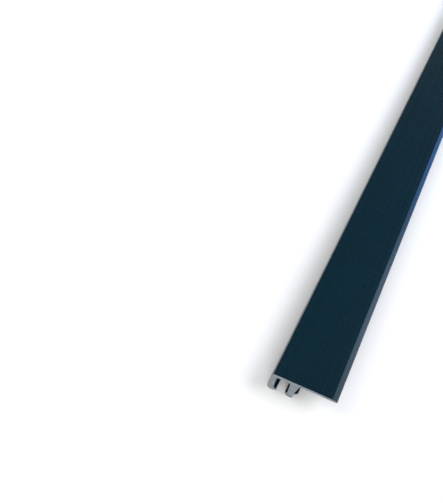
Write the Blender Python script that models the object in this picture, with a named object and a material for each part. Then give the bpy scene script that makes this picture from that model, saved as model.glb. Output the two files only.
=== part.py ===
"""F-shaped trim profile: one straight length of extruded PVC, lying face up on its two legs.

The section lies in X and Z and the length runs along Y. The origin is at the middle of the
length and of the whole width, on the surface that the two feet stand on. Sizes are in metres.
"""

import math

import bmesh
import bpy
from mathutils import Vector

# Face plate, thicker over the channel than on its free flange, whose edge is bevelled
LENGTH = 1.0
FACE_WIDTH = 0.030
CHANNEL_ROOF = 0.0018
FLANGE_THICKNESS = 0.0013
DEPTH = 0.0130
EDGE_BEVEL_WIDTH = 0.0024
EDGE_BEVEL_DROP = 0.0006
EDGE_BEVEL_RADIUS = 0.0015

# Edge leg, bowed outwards, with a hook at its foot
EDGE_LEG_THICKNESS = 0.0028
EDGE_LEG_SWELL = 0.0003
EDGE_LEG_BOW = 0.0017
BOW_HEIGHT = 0.0025
HEEL_RADIUS = 0.0018
HOOK_SOLE = 0.0022
HOOK_REACH = 0.0012
HOOK_HEIGHT = 0.0021
HOOK_TIP_THICKNESS = 0.0012

# Channel between the legs, measured under the face plate
CHANNEL_WIDTH = 0.0063

# Middle leg, a wedge whose foot has two barbs that point back towards the face
ROOT_THICKNESS = 0.0044
MIDDLE_LEG_LEAN = 0.0005
NECK_THICKNESS = 0.0029
NECK_HEIGHT = 0.0038
CHANNEL_BARB_REACH = 0.0011
CHANNEL_BARB_HEIGHT = 0.0025
FLANGE_BARB_REACH = 0.0019
FLANGE_BARB_HEIGHT = 0.0061
BARB_THICKNESS = 0.0008
SOLE_WIDTH = 0.0025
NOTCH_HEIGHT = 0.0024

# Rounding left by the die
CORNER_RADIUS = 0.0007
FREE_EDGE_RADIUS = 0.0003
ROOT_FILLET = 0.0005
FLANGE_ROOT_FILLET = 0.0010
NECK_RADIUS = 0.00025
TIP_RADIUS = 0.0003
ARC_STEPS = 5
BOW_STEPS = 12

SHARP_ANGLE = math.radians(40)


def clear_scene():
    """Remove the objects that the file opens with."""
    for obj in list(bpy.data.objects):
        bpy.data.objects.remove(obj, do_unlink=True)


def arc(centre, radius, first, last, steps):
    """Points along an arc, from one angle to the other."""
    angles = [first + (last - first) * step / steps for step in range(steps + 1)]
    return [centre + radius * Vector((math.cos(a), math.sin(a))) for a in angles]


def rounded(corner, before, after, radius):
    """The arc that takes the place of a corner, no longer than its neighbours leave room for."""
    back = before - corner
    ahead = after - corner
    half_angle = back.angle(ahead) / 2
    room = 0.48 * min(back.length, ahead.length)
    setback = min(radius / math.tan(half_angle), room)
    start = corner + back.normalized() * setback
    end = corner + ahead.normalized() * setback
    inwards = (back.normalized() + ahead.normalized()).normalized()
    centre = corner + inwards * (setback / math.cos(half_angle))
    first = math.atan2(start.y - centre.y, start.x - centre.x)
    last = math.atan2(end.y - centre.y, end.x - centre.x)
    sweep = (last - first + math.pi) % math.tau - math.pi
    return arc(centre, (start - centre).length, first, first + sweep, ARC_STEPS)


def outline_of(corners):
    """Outline points from (point, radius) corners. A corner with no radius stays as it is."""
    points = []
    for index, (corner, radius) in enumerate(corners):
        if radius == 0:
            points.append(corner)
            continue
        before = corners[index - 1][0]
        after = corners[(index + 1) % len(corners)][0]
        points.extend(rounded(corner, before, after, radius))
    return points


def bow_centre():
    """Centre and outer radius of the edge leg's bow, which starts at the face's own edge."""
    rise = DEPTH - BOW_HEIGHT
    radius = (EDGE_LEG_BOW**2 + rise**2) / (2 * EDGE_LEG_BOW)
    return Vector((radius - EDGE_LEG_BOW, BOW_HEIGHT)), radius


def outer_side(low, high):
    """Points up the edge leg's outer side, which is an arc that is widest at BOW_HEIGHT."""
    centre, radius = bow_centre()
    first = math.pi - math.asin((low - BOW_HEIGHT) / radius)
    last = math.pi - math.asin((high - BOW_HEIGHT) / radius)
    return arc(centre, radius, first, last, BOW_STEPS)


def inner_side(low, high):
    """Points up the edge leg's inner side. The leg swells evenly from its root to its hook."""
    centre, radius = bow_centre()
    points = []
    for step in range(BOW_STEPS + 1):
        share = step / BOW_STEPS
        z = low + (high - low) * share
        wall = EDGE_LEG_THICKNESS + EDGE_LEG_SWELL * (1 - share)
        points.append(Vector((centre.x - math.sqrt(radius**2 - (z - centre.y) ** 2) + wall, z)))
    return points


def edge_leg():
    """The bowed leg from the underside of the face, round the hook, to the face's corner."""
    under = DEPTH - CHANNEL_ROOF
    inner = inner_side(HOOK_HEIGHT + ROOT_FILLET, under - ROOT_FILLET)
    outer = outer_side(BOW_HEIGHT, DEPTH - 2 * CORNER_RADIUS)
    hook_tip = inner[0].x + HOOK_REACH
    corners = [(Vector((inner[-1].x, under)), ROOT_FILLET)]
    corners += [(point, 0) for point in reversed(inner)]
    corners += [
        (Vector((inner[0].x, HOOK_HEIGHT)), ROOT_FILLET),
        (Vector((hook_tip, HOOK_HEIGHT)), TIP_RADIUS),
        (Vector((hook_tip, HOOK_HEIGHT - HOOK_TIP_THICKNESS)), TIP_RADIUS),
        (Vector((HOOK_SOLE - EDGE_LEG_BOW, 0)), TIP_RADIUS),
        (Vector((-EDGE_LEG_BOW, 0)), HEEL_RADIUS),
    ]
    corners += [(point, 0) for point in outer]
    return corners


def middle_leg():
    """The wedge and its barbed foot, from its flange side to its channel side."""
    under = DEPTH - CHANNEL_ROOF
    flange_back = DEPTH - FLANGE_THICKNESS
    leg = edge_leg()[0][0].x + CHANNEL_WIDTH
    foot = leg - MIDDLE_LEG_LEAN
    flange_barb = foot + NECK_THICKNESS + FLANGE_BARB_REACH
    channel_barb = foot - CHANNEL_BARB_REACH
    places = [
        (leg + ROOT_THICKNESS, flange_back, FLANGE_ROOT_FILLET),
        (foot + NECK_THICKNESS, NECK_HEIGHT, NECK_RADIUS),
        (flange_barb, FLANGE_BARB_HEIGHT, TIP_RADIUS),
        (flange_barb, FLANGE_BARB_HEIGHT - BARB_THICKNESS, TIP_RADIUS),
        (foot + SOLE_WIDTH, NOTCH_HEIGHT, TIP_RADIUS),
        (foot + SOLE_WIDTH, 0, TIP_RADIUS),
        (foot, 0, TIP_RADIUS),
        (channel_barb, CHANNEL_BARB_HEIGHT - BARB_THICKNESS, TIP_RADIUS),
        (channel_barb, CHANNEL_BARB_HEIGHT, TIP_RADIUS),
        (foot, CHANNEL_BARB_HEIGHT, ROOT_FILLET),
        (leg, under, ROOT_FILLET),
    ]
    return [(Vector((x, z)), radius) for x, z, radius in places]


def section():
    """The whole outline, clockwise from the face's corner above the edge leg."""
    thin_edge = DEPTH - EDGE_BEVEL_DROP
    face = [
        (Vector((0, DEPTH)), CORNER_RADIUS),
        (Vector((FACE_WIDTH - EDGE_BEVEL_WIDTH, DEPTH)), EDGE_BEVEL_RADIUS),
        (Vector((FACE_WIDTH, thin_edge)), FREE_EDGE_RADIUS),
        (Vector((FACE_WIDTH, DEPTH - FLANGE_THICKNESS)), FREE_EDGE_RADIUS),
    ]
    return outline_of(face + middle_leg() + edge_leg())


def extruded(name, outline, length):
    """A closed solid: the outline filled in X and Z and drawn out along Y."""
    middle = (min(p.x for p in outline) + max(p.x for p in outline)) / 2
    curve = bpy.data.curves.new(name, "CURVE")
    curve.dimensions = "2D"
    curve.fill_mode = "BOTH"
    curve.extrude = length / 2
    spline = curve.splines.new("POLY")
    spline.points.add(len(outline) - 1)
    for point, place in zip(spline.points, outline):
        point.co = (place.x - middle, place.y, 0, 1)
    spline.use_cyclic_u = True
    drawn = bpy.data.objects.new(name + "_section", curve)
    drawn.rotation_euler.x = math.radians(90)
    bpy.context.scene.collection.objects.link(drawn)
    bpy.context.view_layer.update()
    evaluated = drawn.evaluated_get(bpy.context.evaluated_depsgraph_get())
    mesh = bpy.data.meshes.new_from_object(evaluated)
    mesh.name = name
    mesh.transform(drawn.matrix_world)
    bpy.data.objects.remove(drawn, do_unlink=True)
    solid = bmesh.new()
    solid.from_mesh(mesh)
    bmesh.ops.remove_doubles(solid, verts=solid.verts, dist=0.000001)
    bmesh.ops.recalc_face_normals(solid, faces=solid.faces)
    solid.to_mesh(mesh)
    solid.free()
    mesh.shade_smooth()
    mesh.set_sharp_from_angle(angle=SHARP_ANGLE)
    return bpy.data.objects.new(name, mesh)


def dark_pvc():
    """Rigid PVC coloured all through, with the satin skin that the die leaves."""
    material = bpy.data.materials.new("dark_pvc")
    material.use_nodes = True
    shader = material.node_tree.nodes["Principled BSDF"]
    shader.inputs["Base Color"].default_value = (0.008, 0.031, 0.046, 1)
    shader.inputs["Metallic"].default_value = 0
    shader.inputs["Roughness"].default_value = 0.4
    return material


clear_scene()
collection = bpy.data.collections.new("f_shaped_trim_profile")
bpy.context.scene.collection.children.link(collection)
profile = extruded("f_profile", section(), LENGTH)
profile.data.materials.append(dark_pvc())
collection.objects.link(profile)
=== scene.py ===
"""F-shaped trim profile: a 1 m length of dark rigid PVC, lying face up on its two legs."""

import math

import bpy
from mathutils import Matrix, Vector


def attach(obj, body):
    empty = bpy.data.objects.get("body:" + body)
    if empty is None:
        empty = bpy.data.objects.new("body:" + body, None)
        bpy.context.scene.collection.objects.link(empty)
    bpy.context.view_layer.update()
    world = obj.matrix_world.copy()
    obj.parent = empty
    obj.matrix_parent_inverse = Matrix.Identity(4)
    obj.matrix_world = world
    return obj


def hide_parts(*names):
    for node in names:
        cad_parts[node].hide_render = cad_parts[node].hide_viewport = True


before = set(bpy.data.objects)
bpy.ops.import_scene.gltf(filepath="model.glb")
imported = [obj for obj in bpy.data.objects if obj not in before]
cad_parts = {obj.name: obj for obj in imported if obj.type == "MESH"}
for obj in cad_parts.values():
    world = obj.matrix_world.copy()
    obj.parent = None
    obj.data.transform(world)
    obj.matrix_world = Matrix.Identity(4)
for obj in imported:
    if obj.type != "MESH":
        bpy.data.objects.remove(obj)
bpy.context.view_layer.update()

# The section, as the extrusion die cuts it: a flat face plate with a bevelled free edge, a bowed
# edge leg with a hook at its foot, and a wedge-shaped middle leg with a barbed foot. It is drawn
# flat, across the face and up through it, and each corner carries the radius that rounds it.
FACE_WIDTH = 0.030
DEPTH = 0.0130
CHANNEL_ROOF = DEPTH - 0.0018
FLANGE_BACK = DEPTH - 0.0013
BEVEL_WIDTH = 0.0024
BEVEL_DROP = 0.0006
BEVEL_RADIUS = 0.0015
FREE_EDGE_RADIUS = 0.0003
FACE_CORNER_RADIUS = 0.0007
ROOT_FILLET = 0.0005
TIP_RADIUS = 0.0003

BOW = 0.0017
BOW_HEIGHT = 0.0025
EDGE_LEG_ROOT = 0.0028
EDGE_LEG_SWELL = 0.0003
HOOK_HEIGHT = 0.0021
HOOK_REACH = 0.0012
HOOK_TIP = 0.0012
HOOK_SOLE = 0.0022
HEEL_RADIUS = 0.0018

CHANNEL_WIDTH = 0.0063
WEDGE_ROOT = 0.0044
WEDGE_ROOT_FILLET = 0.0010
WEDGE_LEAN = 0.0005
NECK_WIDTH = 0.0029
NECK_HEIGHT = 0.0038
NECK_RADIUS = 0.00025
FLANGE_BARB = (0.0019, 0.0061)
CHANNEL_BARB = (0.0011, 0.0025)
BARB_THICKNESS = 0.0008
SOLE_WIDTH = 0.0025
NOTCH_HEIGHT = 0.0024
BOW_POINTS = 24

bow_rise = DEPTH - BOW_HEIGHT
bow_radius = (BOW**2 + bow_rise**2) / (2 * BOW)
bow_centre = bow_radius - BOW


def bowed_side(height):
    """How far across the section the edge leg's outer side lies at a height."""
    return bow_centre - math.sqrt(bow_radius**2 - (height - BOW_HEIGHT) ** 2)


def heights(low, high):
    """Even steps up the bowed leg."""
    return [low + (high - low) * step / BOW_POINTS for step in range(BOW_POINTS + 1)]


leg_low = HOOK_HEIGHT + ROOT_FILLET
leg_high = CHANNEL_ROOF - ROOT_FILLET
inner_side = []
for height in heights(leg_low, leg_high):
    swell = EDGE_LEG_SWELL * (leg_high - height) / (leg_high - leg_low)
    inner_side.append((bowed_side(height) + EDGE_LEG_ROOT + swell, height, 0))
outer_top = DEPTH - 2 * FACE_CORNER_RADIUS
outer_side = [(bowed_side(height), height, 0) for height in heights(BOW_HEIGHT, outer_top)]
hook_tip = inner_side[0][0] + HOOK_REACH
wedge = inner_side[-1][0] + CHANNEL_WIDTH
foot = wedge - WEDGE_LEAN
neck = foot + NECK_WIDTH
flange_barb = neck + FLANGE_BARB[0]
channel_barb = foot - CHANNEL_BARB[0]

face = [
    (0, DEPTH, FACE_CORNER_RADIUS),
    (FACE_WIDTH - BEVEL_WIDTH, DEPTH, BEVEL_RADIUS),
    (FACE_WIDTH, DEPTH - BEVEL_DROP, FREE_EDGE_RADIUS),
    (FACE_WIDTH, FLANGE_BACK, FREE_EDGE_RADIUS),
]
middle_leg = [
    (wedge + WEDGE_ROOT, FLANGE_BACK, WEDGE_ROOT_FILLET),
    (neck, NECK_HEIGHT, NECK_RADIUS),
    (flange_barb, FLANGE_BARB[1], TIP_RADIUS),
    (flange_barb, FLANGE_BARB[1] - BARB_THICKNESS, TIP_RADIUS),
    (foot + SOLE_WIDTH, NOTCH_HEIGHT, TIP_RADIUS),
    (foot + SOLE_WIDTH, 0, TIP_RADIUS),
    (foot, 0, TIP_RADIUS),
    (channel_barb, CHANNEL_BARB[1] - BARB_THICKNESS, TIP_RADIUS),
    (channel_barb, CHANNEL_BARB[1], TIP_RADIUS),
    (foot, CHANNEL_BARB[1], ROOT_FILLET),
    (wedge, CHANNEL_ROOF, ROOT_FILLET),
]
edge_leg = [
    (inner_side[-1][0], CHANNEL_ROOF, ROOT_FILLET),
    *reversed(inner_side),
    (inner_side[0][0], HOOK_HEIGHT, ROOT_FILLET),
    (hook_tip, HOOK_HEIGHT, TIP_RADIUS),
    (hook_tip, HOOK_HEIGHT - HOOK_TIP, TIP_RADIUS),
    (HOOK_SOLE - BOW, 0, TIP_RADIUS),
    (-BOW, 0, HEEL_RADIUS),
    *outer_side,
]
outline = face + middle_leg + edge_leg
across_middle = (FACE_WIDTH - BOW) / 2

die = bpy.data.curves.new("die", "CURVE")
die.dimensions = "3D"
spline = die.splines.new("POLY")
spline.points.add(len(outline) - 1)
for point, (across, up, radius) in zip(spline.points, outline):
    point.co = (across - across_middle, up, 0, 1)
    point.radius = radius
spline.use_cyclic_u = True


def colour(code):
    """An sRGB hex colour as the linear RGBA that a shader takes."""
    parts = [int(code[i : i + 2], 16) / 255 for i in (0, 2, 4)]
    linear = [p / 12.92 if p <= 0.04045 else ((p + 0.055) / 1.055) ** 2.4 for p in parts]
    return (*linear, 1)


def add(tree, kind, settings=(), **inputs):
    """Adds a node with its settings, and a value or a link for each input.

    An input goes by its name, or by its number with an underscore before it.
    """
    node = tree.nodes.new(kind)
    for name, value in dict(settings).items():
        setattr(node, name, value)
    for name, value in inputs.items():
        key = int(name[1:]) if name[1:].isdigit() else name.replace("_", " ")
        socket = node.inputs[key]
        if isinstance(value, bpy.types.NodeSocket):
            value = [value]
        if isinstance(value, list):
            for source in value:
                tree.links.new(source, socket)
        else:
            socket.default_value = value
    return node


def blank_material(name):
    """A material with an empty node tree, and the tree to build it in."""
    material = bpy.data.materials.new(name)
    material.use_nodes = True
    material.node_tree.nodes.clear()
    return material, material.node_tree


# The skin, as it comes out of the die: rigid PVC coloured all through in a dark slate blue, cooled
# against polished steel. It is satin, with hair-fine die lines that run the whole length, slightly
# uneven in gloss, and with the odd faint scuff from handling. The real die lines are far finer than
# a pixel, so they are drawn 0.4 mm wide, and broader bands 2.8 mm wide, to show at all.
DIE_LINE = 0.0004
DIE_LINE_LENGTH = 0.9
DIE_LINE_RELIEF = 0.00001
BROAD_LINE = 0.0028
BROAD_LINE_LENGTH = 2.25
BROAD_LINE_RELIEF = 0.00006
CLOUDS_PER_METRE = 45
SCUFF_LENGTH = 0.035
SCUFF_WIDTH = 0.0006
SCUFF_TURN = math.radians(24)
SCUFF_STRENGTH = 0.04

pvc_skin, tree = blank_material("extruded_pvc_skin")
place = add(tree, "ShaderNodeTexCoord").outputs["Object"]
drawn = add(
    tree,
    "ShaderNodeMapping",
    Vector=place,
    Scale=(1 / DIE_LINE, 1 / DIE_LINE_LENGTH, 1 / DIE_LINE),
).outputs["Vector"]
fine = add(tree, "ShaderNodeTexNoise", Vector=drawn, Scale=1, Detail=3, Roughness=0.6)
drawn_wide = add(
    tree,
    "ShaderNodeMapping",
    Vector=place,
    Scale=(1 / BROAD_LINE, 1 / BROAD_LINE_LENGTH, 1 / BROAD_LINE),
).outputs["Vector"]
broad = add(tree, "ShaderNodeTexNoise", Vector=drawn_wide, Scale=1, Detail=2, Roughness=0.5)
cloud = add(
    tree,
    "ShaderNodeTexNoise",
    Vector=place,
    Scale=CLOUDS_PER_METRE,
    Detail=3,
    Roughness=0.55,
)
turned = add(
    tree,
    "ShaderNodeMapping",
    Vector=place,
    Rotation=(0, 0, SCUFF_TURN),
    Scale=(1 / SCUFF_LENGTH, 1 / SCUFF_WIDTH, 1 / SCUFF_LENGTH),
).outputs["Vector"]
scratch = add(tree, "ShaderNodeTexNoise", Vector=turned, Scale=1, Detail=1, Roughness=0.4)
scuff = add(
    tree,
    "ShaderNodeMapRange",
    Value=scratch.outputs["Fac"],
    From_Min=0.66,
    From_Max=0.74,
    To_Min=0.0,
    To_Max=1.0,
).outputs["Result"]
tone = add(
    tree,
    "ShaderNodeMapRange",
    Value=broad.outputs["Fac"],
    From_Min=0.3,
    From_Max=0.7,
    To_Min=0.0,
    To_Max=1.0,
).outputs["Result"]
ground = add(
    tree,
    "ShaderNodeMix",
    {"data_type": "RGBA"},
    _0=tone,
    _6=colour("051F29"),
    _7=colour("07232E"),
).outputs[2]
clouded = add(
    tree,
    "ShaderNodeMapRange",
    Value=cloud.outputs["Fac"],
    From_Min=0.3,
    From_Max=0.7,
    To_Min=0.0,
    To_Max=0.3,
).outputs["Result"]
body = add(
    tree,
    "ShaderNodeMix",
    {"data_type": "RGBA"},
    _0=clouded,
    _6=ground,
    _7=colour("082B39"),
).outputs[2]
scuffed = add(
    tree, "ShaderNodeMath", {"operation": "MULTIPLY"}, _0=scuff, _1=SCUFF_STRENGTH
).outputs[0]
base = add(
    tree,
    "ShaderNodeMix",
    {"data_type": "RGBA"},
    _0=scuffed,
    _6=body,
    _7=colour("3A5663"),
).outputs[2]
gloss = add(
    tree,
    "ShaderNodeMapRange",
    Value=fine.outputs["Fac"],
    From_Min=0.3,
    From_Max=0.7,
    To_Min=0.24,
    To_Max=0.31,
).outputs["Result"]
rough = add(
    tree,
    "ShaderNodeMath",
    {"operation": "MULTIPLY_ADD"},
    _0=scuff,
    _1=SCUFF_STRENGTH,
    _2=gloss,
).outputs[0]
wide_relief = add(
    tree,
    "ShaderNodeBump",
    Strength=0.07,
    Distance=BROAD_LINE_RELIEF,
    Height=broad.outputs["Fac"],
).outputs["Normal"]
relief = add(
    tree,
    "ShaderNodeBump",
    Strength=0.08,
    Distance=DIE_LINE_RELIEF,
    Height=fine.outputs["Fac"],
    Normal=wide_relief,
).outputs["Normal"]
shader = add(
    tree,
    "ShaderNodeBsdfPrincipled",
    Base_Color=base,
    Roughness=rough,
    IOR=1.53,
    Metallic=0.0,
    Normal=relief,
)
add(tree, "ShaderNodeOutputMaterial", Surface=shader.outputs["BSDF"])

# The two ends, cut square with a fine circular saw: bare PVC, matt and much lighter than the skin
# because the teeth roughen and whiten it, with the blade's arcs across it. A fine saw's real arcs
# and grit are finer than a pixel, so both are drawn coarser.
TOOTH_MARK = 0.00042
TOOTH_RELIEF = 0.00006
BLADE_CENTRE = (-0.055, 0.0, -0.085)
GRIT_PER_METRE = 5200
GRIT_RELIEF = 0.00003
SMEARS_PER_METRE = 420

sawn_pvc, tree = blank_material("sawn_pvc")
place = add(tree, "ShaderNodeTexCoord").outputs["Object"]
in_cut = add(tree, "ShaderNodeMapping", Vector=place, Scale=(1, 0, 1)).outputs["Vector"]
reach = add(
    tree,
    "ShaderNodeVectorMath",
    {"operation": "DISTANCE"},
    _0=in_cut,
    _1=BLADE_CENTRE,
).outputs["Value"]
sweep = add(
    tree, "ShaderNodeMath", {"operation": "MULTIPLY"}, _0=reach, _1=1 / TOOTH_MARK
).outputs[0]
arcs = add(
    tree, "ShaderNodeTexNoise", {"noise_dimensions": "1D"}, W=sweep, Scale=1, Detail=2
).outputs["Fac"]
grit = add(
    tree, "ShaderNodeTexNoise", Vector=place, Scale=GRIT_PER_METRE, Detail=2
).outputs["Fac"]
smear = add(
    tree, "ShaderNodeTexNoise", Vector=place, Scale=SMEARS_PER_METRE, Detail=3
).outputs["Fac"]
marks = add(
    tree,
    "ShaderNodeMapRange",
    Value=arcs,
    From_Min=0.3,
    From_Max=0.7,
    To_Min=0.0,
    To_Max=1.0,
).outputs["Result"]
arced = add(
    tree,
    "ShaderNodeMix",
    {"data_type": "RGBA"},
    _0=marks,
    _6=colour("5D656A"),
    _7=colour("737B82"),
).outputs[2]
smeared = add(
    tree,
    "ShaderNodeMapRange",
    Value=smear,
    From_Min=0.35,
    From_Max=0.7,
    To_Min=0.0,
    To_Max=0.45,
).outputs["Result"]
bare = add(
    tree,
    "ShaderNodeMix",
    {"data_type": "RGBA"},
    _0=smeared,
    _6=arced,
    _7=colour("868D93"),
).outputs[2]
teeth = add(
    tree, "ShaderNodeBump", Strength=0.6, Distance=TOOTH_RELIEF, Height=arcs
).outputs["Normal"]
fuzz = add(
    tree, "ShaderNodeBump", Strength=0.4, Distance=GRIT_RELIEF, Height=grit, Normal=teeth
).outputs["Normal"]
shader = add(
    tree,
    "ShaderNodeBsdfPrincipled",
    Base_Color=bare,
    Roughness=0.72,
    IOR=1.53,
    Metallic=0.0,
    Normal=fuzz,
)
add(tree, "ShaderNodeOutputMaterial", Surface=shader.outputs["BSDF"])

# The length itself: the die's outline with its corners rounded, drawn out to a metre and cut off
# at both ends. The saw leaves a fine broken edge all round each cut.
LENGTH = 1.0
BROKEN_EDGE = 0.00012
CORNER_STEPS = 10
STATIONS = 4
MIDDLE_STATION = (STATIONS - 1) / 2
OUTLINE_WELD = 0.00001
END_WELD = 0.000002
SHARP_ANGLE = math.radians(30)

draw = bpy.data.node_groups.new("draw_and_cut", "GeometryNodeTree")
draw.is_modifier = True
sockets = {}
for name, kind, value in (
    ("Die", "NodeSocketGeometry", None),
    ("Length", "NodeSocketFloat", LENGTH),
    ("Broken edge", "NodeSocketFloat", BROKEN_EDGE),
    ("Corner steps", "NodeSocketInt", CORNER_STEPS),
    ("Skin", "NodeSocketMaterial", pvc_skin),
    ("Sawn ends", "NodeSocketMaterial", sawn_pvc),
):
    sockets[name] = draw.interface.new_socket(name, in_out="INPUT", socket_type=kind)
    if value is not None:
        sockets[name].default_value = value
draw.interface.new_socket("Profile", in_out="OUTPUT", socket_type="NodeSocketGeometry")
given = add(draw, "NodeGroupInput").outputs
corner_radius = add(draw, "GeometryNodeInputRadius").outputs["Radius"]
rounded = add(
    draw,
    "GeometryNodeFilletCurve",
    {"mode": "POLY"},
    Curve=given["Die"],
    Count=given["Corner steps"],
    Radius=corner_radius,
    Limit_Radius=True,
).outputs["Curve"]
wire = add(draw, "GeometryNodeCurveToMesh", Curve=rounded).outputs["Mesh"]
clean_wire = add(
    draw, "GeometryNodeMergeByDistance", Geometry=wire, Distance=OUTLINE_WELD
).outputs["Geometry"]
clean = add(draw, "GeometryNodeMeshToCurve", Mesh=clean_wire).outputs["Curve"]
along_outline = add(draw, "GeometryNodeInputTangent").outputs["Tangent"]
inwards = add(
    draw,
    "ShaderNodeVectorMath",
    {"operation": "CROSS_PRODUCT"},
    _0=along_outline,
    _1=(0, 0, 1),
).outputs["Vector"]
marked = add(
    draw,
    "GeometryNodeStoreNamedAttribute",
    {"data_type": "FLOAT_VECTOR", "domain": "POINT"},
    Geometry=clean,
    Name="inwards",
    Value=inwards,
).outputs["Geometry"]
far_end = add(draw, "ShaderNodeCombineXYZ", Z=given["Length"]).outputs["Vector"]
line = add(draw, "GeometryNodeCurvePrimitiveLine", End=far_end).outputs["Curve"]
stations = add(
    draw, "GeometryNodeResampleCurve", Curve=line, Count=STATIONS
).outputs["Curve"]
station = add(draw, "GeometryNodeInputIndex").outputs["Index"]
past_middle = add(
    draw, "ShaderNodeMath", {"operation": "GREATER_THAN"}, _0=station, _1=MIDDLE_STATION
).outputs[0]
to_middle = add(
    draw, "ShaderNodeMath", {"operation": "SUBTRACT"}, _0=station, _1=MIDDLE_STATION
).outputs[0]
how_far = add(draw, "ShaderNodeMath", {"operation": "ABSOLUTE"}, _0=to_middle).outputs[0]
is_inner = add(
    draw, "ShaderNodeMath", {"operation": "LESS_THAN"}, _0=how_far, _1=1
).outputs[0]
side = add(draw, "ShaderNodeMath", {"operation": "SIGN"}, _0=to_middle).outputs[0]
inset = add(
    draw, "ShaderNodeMath", {"operation": "MULTIPLY"}, _0=is_inner, _1=given["Broken edge"]
).outputs[0]
inset_to_side = add(
    draw, "ShaderNodeMath", {"operation": "MULTIPLY"}, _0=inset, _1=side
).outputs[0]
end_of_side = add(
    draw, "ShaderNodeMath", {"operation": "MULTIPLY"}, _0=past_middle, _1=given["Length"]
).outputs[0]
station_place = add(
    draw, "ShaderNodeMath", {"operation": "SUBTRACT"}, _0=end_of_side, _1=inset_to_side
).outputs[0]
station_at = add(draw, "ShaderNodeCombineXYZ", Z=station_place).outputs["Vector"]
path = add(
    draw, "GeometryNodeSetPosition", Geometry=stations, Position=station_at
).outputs["Geometry"]
path = add(
    draw,
    "GeometryNodeStoreNamedAttribute",
    {"data_type": "FLOAT", "domain": "POINT"},
    Geometry=path,
    Name="cut",
    Value=how_far,
).outputs["Geometry"]
tube = add(
    draw, "GeometryNodeCurveToMesh", Curve=path, Profile_Curve=marked
).outputs["Mesh"]
walls = add(draw, "GeometryNodeFlipFaces", Mesh=tube).outputs["Mesh"]
cut_edge = add(
    draw, "GeometryNodeInputNamedAttribute", {"data_type": "FLOAT"}, Name="cut"
).outputs["Attribute"]
at_cut = add(
    draw, "ShaderNodeMath", {"operation": "GREATER_THAN"}, _0=cut_edge, _1=1
).outputs[0]
to_inside = add(
    draw, "GeometryNodeInputNamedAttribute", {"data_type": "FLOAT_VECTOR"}, Name="inwards"
).outputs["Attribute"]
shrink = add(
    draw,
    "ShaderNodeVectorMath",
    {"operation": "SCALE"},
    _0=to_inside,
    Scale=given["Broken edge"],
).outputs["Vector"]
broken = add(
    draw,
    "GeometryNodeSetPosition",
    Geometry=walls,
    Selection=at_cut,
    Offset=shrink,
).outputs["Geometry"]
cut_outline = add(
    draw, "GeometryNodeSetPosition", Geometry=marked, Offset=shrink
).outputs["Geometry"]
far_cut = add(
    draw, "GeometryNodeFillCurve", {"mode": "TRIANGLES"}, Curve=cut_outline
).outputs["Mesh"]
near_cut = add(draw, "GeometryNodeFlipFaces", Mesh=far_cut).outputs["Mesh"]
far_cut = add(
    draw, "GeometryNodeTransform", Geometry=far_cut, Translation=far_end
).outputs["Geometry"]
shell = add(draw, "GeometryNodeJoinGeometry", Geometry=[broken, near_cut, far_cut])
closed = add(
    draw,
    "GeometryNodeMergeByDistance",
    Geometry=shell.outputs["Geometry"],
    Distance=END_WELD,
).outputs["Geometry"]
half = add(
    draw, "ShaderNodeMath", {"operation": "MULTIPLY"}, _0=given["Length"], _1=0.5
).outputs[0]
centred = add(draw, "ShaderNodeCombineXYZ", Y=half).outputs["Vector"]
laid = add(
    draw,
    "GeometryNodeTransform",
    Geometry=closed,
    Translation=centred,
    Rotation=(math.radians(90), 0, 0),
).outputs["Geometry"]
real = add(draw, "GeometryNodeRealizeInstances", Geometry=laid).outputs["Geometry"]
skinned = add(
    draw, "GeometryNodeSetMaterial", Geometry=real, Material=given["Skin"]
).outputs["Geometry"]
facing = add(draw, "GeometryNodeInputNormal").outputs["Normal"]
facing_y = add(draw, "ShaderNodeSeparateXYZ", Vector=facing).outputs["Y"]
square_on = add(draw, "ShaderNodeMath", {"operation": "ABSOLUTE"}, _0=facing_y).outputs[0]
sawn = add(
    draw, "ShaderNodeMath", {"operation": "GREATER_THAN"}, _0=square_on, _1=0.5
).outputs[0]
finished = add(
    draw,
    "GeometryNodeSetMaterial",
    Geometry=skinned,
    Selection=sawn,
    Material=given["Sawn ends"],
).outputs["Geometry"]
add(draw, "NodeGroupOutput", Profile=finished)

drawing = bpy.data.objects.new("drawing", die)
bpy.context.scene.collection.objects.link(drawing)
modifier = drawing.modifiers.new("draw_and_cut", "NODES")
modifier.node_group = draw
modifier[sockets["Length"].identifier] = LENGTH
bpy.context.view_layer.update()
seen = drawing.evaluated_get(bpy.context.evaluated_depsgraph_get())
mesh = bpy.data.meshes.new_from_object(seen)
bpy.data.objects.remove(drawing, do_unlink=True)
mesh.name = "trim_length"
mesh.materials.pop(index=0)
for name in ("inwards", "cut"):
    if mesh.attributes.get(name):
        mesh.attributes.remove(mesh.attributes[name])
mesh.shade_smooth()
mesh.set_sharp_from_angle(angle=SHARP_ANGLE)
trim_length = bpy.data.objects.new("trim_length", mesh)
bpy.context.scene.collection.objects.link(trim_length)
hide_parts("f_profile")
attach(trim_length, "root")

# The floor: a sheet of matt white board that fills the view, with the faintest unevenness.
FLOOR_SIZE = 14.0
FLOOR_HEIGHT = -0.00005

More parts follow.
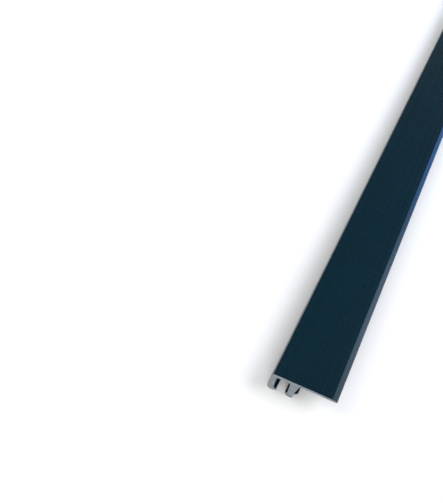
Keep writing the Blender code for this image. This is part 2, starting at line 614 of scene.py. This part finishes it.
board, tree = blank_material("matt_white_board")
place = add(tree, "ShaderNodeTexCoord").outputs["Object"]
uneven = add(tree, "ShaderNodeTexNoise", Vector=place, Scale=3, Detail=2).outputs["Fac"]
white = add(
    tree,
    "ShaderNodeMix",
    {"data_type": "RGBA"},
    _0=uneven,
    _6=colour("F3F3F3"),
    _7=colour("F7F7F7"),
).outputs[2]
shader = add(tree, "ShaderNodeBsdfPrincipled", Base_Color=white, Roughness=0.9, IOR=1.45)
add(tree, "ShaderNodeOutputMaterial", Surface=shader.outputs["BSDF"])
bpy.ops.mesh.primitive_plane_add(size=FLOOR_SIZE, location=(0, 0, FLOOR_HEIGHT))
floor = bpy.context.object
floor.name = "floor"
floor.data.materials.append(board)


# The light: four wide, soft and distant lamps, that light the whole floor evenly. The low one faces
# the near cut and the channel, and the one from the right lets the piece throw a soft shadow left.
# The low one isn't mirrored, because the dark face would look white from behind.
def wide_lamp(name, direction, strength, spread, mirrored=True):
    """A distant lamp whose light comes from a direction, as wide as its spread in degrees."""
    lamp = bpy.data.lights.new(name, "SUN")
    lamp.energy = strength
    lamp.angle = math.radians(spread)
    holder = bpy.data.objects.new(name, lamp)
    holder.rotation_euler = Vector(direction).to_track_quat("Z", "Y").to_euler()
    holder.visible_glossy = mirrored
    bpy.context.scene.collection.objects.link(holder)


wide_lamp("low_front", (0.07, -0.65, 0.31), 1.95, 40, mirrored=False)
wide_lamp("high_front", (0.4, -1.5, 2.4), 0.95, 45)
wide_lamp("high_left", (-1.2, -0.3, 1.8), 0.68, 41)
wide_lamp("high_right", (1.15, 0.34, 1.12), 1.6, 31)


# Close to the piece, two small soft boxes stand where the bevelled edge mirrors them and the face
# doesn't.
def soft_box(name, place, target, width, height, power, tint):
    """A rectangular area light that faces a point."""
    light = bpy.data.lights.new(name, "AREA")
    light.shape = "RECTANGLE"
    light.size = width
    light.size_y = height
    light.energy = power
    light.color = colour(tint)[:3]
    box = bpy.data.objects.new(name, light)
    box.location = place
    box.rotation_euler = (Vector(target) - Vector(place)).to_track_quat("-Z", "Y").to_euler()
    box.visible_camera = False
    bpy.context.scene.collection.objects.link(box)


soft_box("near_bevel", (0.29, -0.01, 0.49), (0.015, -0.45, 0.012), 0.2, 0.25, 0.5, "CCE0FF")
soft_box("far_bevel", (0.225, 0.33, 0.39), (0.015, -0.3, 0.012), 0.16, 0.34, 0.7, "629EFF")

# The studio round it: white walls near the floor, and an unlit ceiling, so that the face shows its
# own dark colour and not a reflection.
studio = bpy.data.worlds.new("studio")
studio.use_nodes = True
tree = studio.node_tree
tree.nodes.clear()
direction = add(tree, "ShaderNodeTexCoord").outputs["Generated"]
upwards = add(tree, "ShaderNodeSeparateXYZ", Vector=direction).outputs["Z"]
wall_light = add(
    tree,
    "ShaderNodeMapRange",
    {"interpolation_type": "SMOOTHSTEP"},
    Value=upwards,
    From_Min=0.08,
    From_Max=0.4,
    To_Min=0.97,
    To_Max=0.03,
).outputs["Result"]
walls = add(tree, "ShaderNodeBackground", Color=colour("FFFFFF"), Strength=wall_light)
add(tree, "ShaderNodeOutputWorld", Surface=walls.outputs["Background"])
bpy.context.scene.world = studio
bpy.context.scene.view_settings.view_transform = "Standard"

# The camera: a little in front of the near end and above it, looking down along the piece, as far
# off as the two edges of the face say.
camera_data = bpy.data.cameras.new("camera")
camera_data.sensor_fit = "AUTO"
camera_data.sensor_width = 36
camera_data.lens = 43.771
camera_data.clip_start = 0.01
camera = bpy.data.objects.new("camera", camera_data)
camera.location = (0.0173, -0.6395, 0.2494)
camera.rotation_euler = [math.radians(a) for a in (41.692, -2.408, 25.958)]
bpy.context.scene.collection.objects.link(camera)
bpy.context.scene.camera = camera
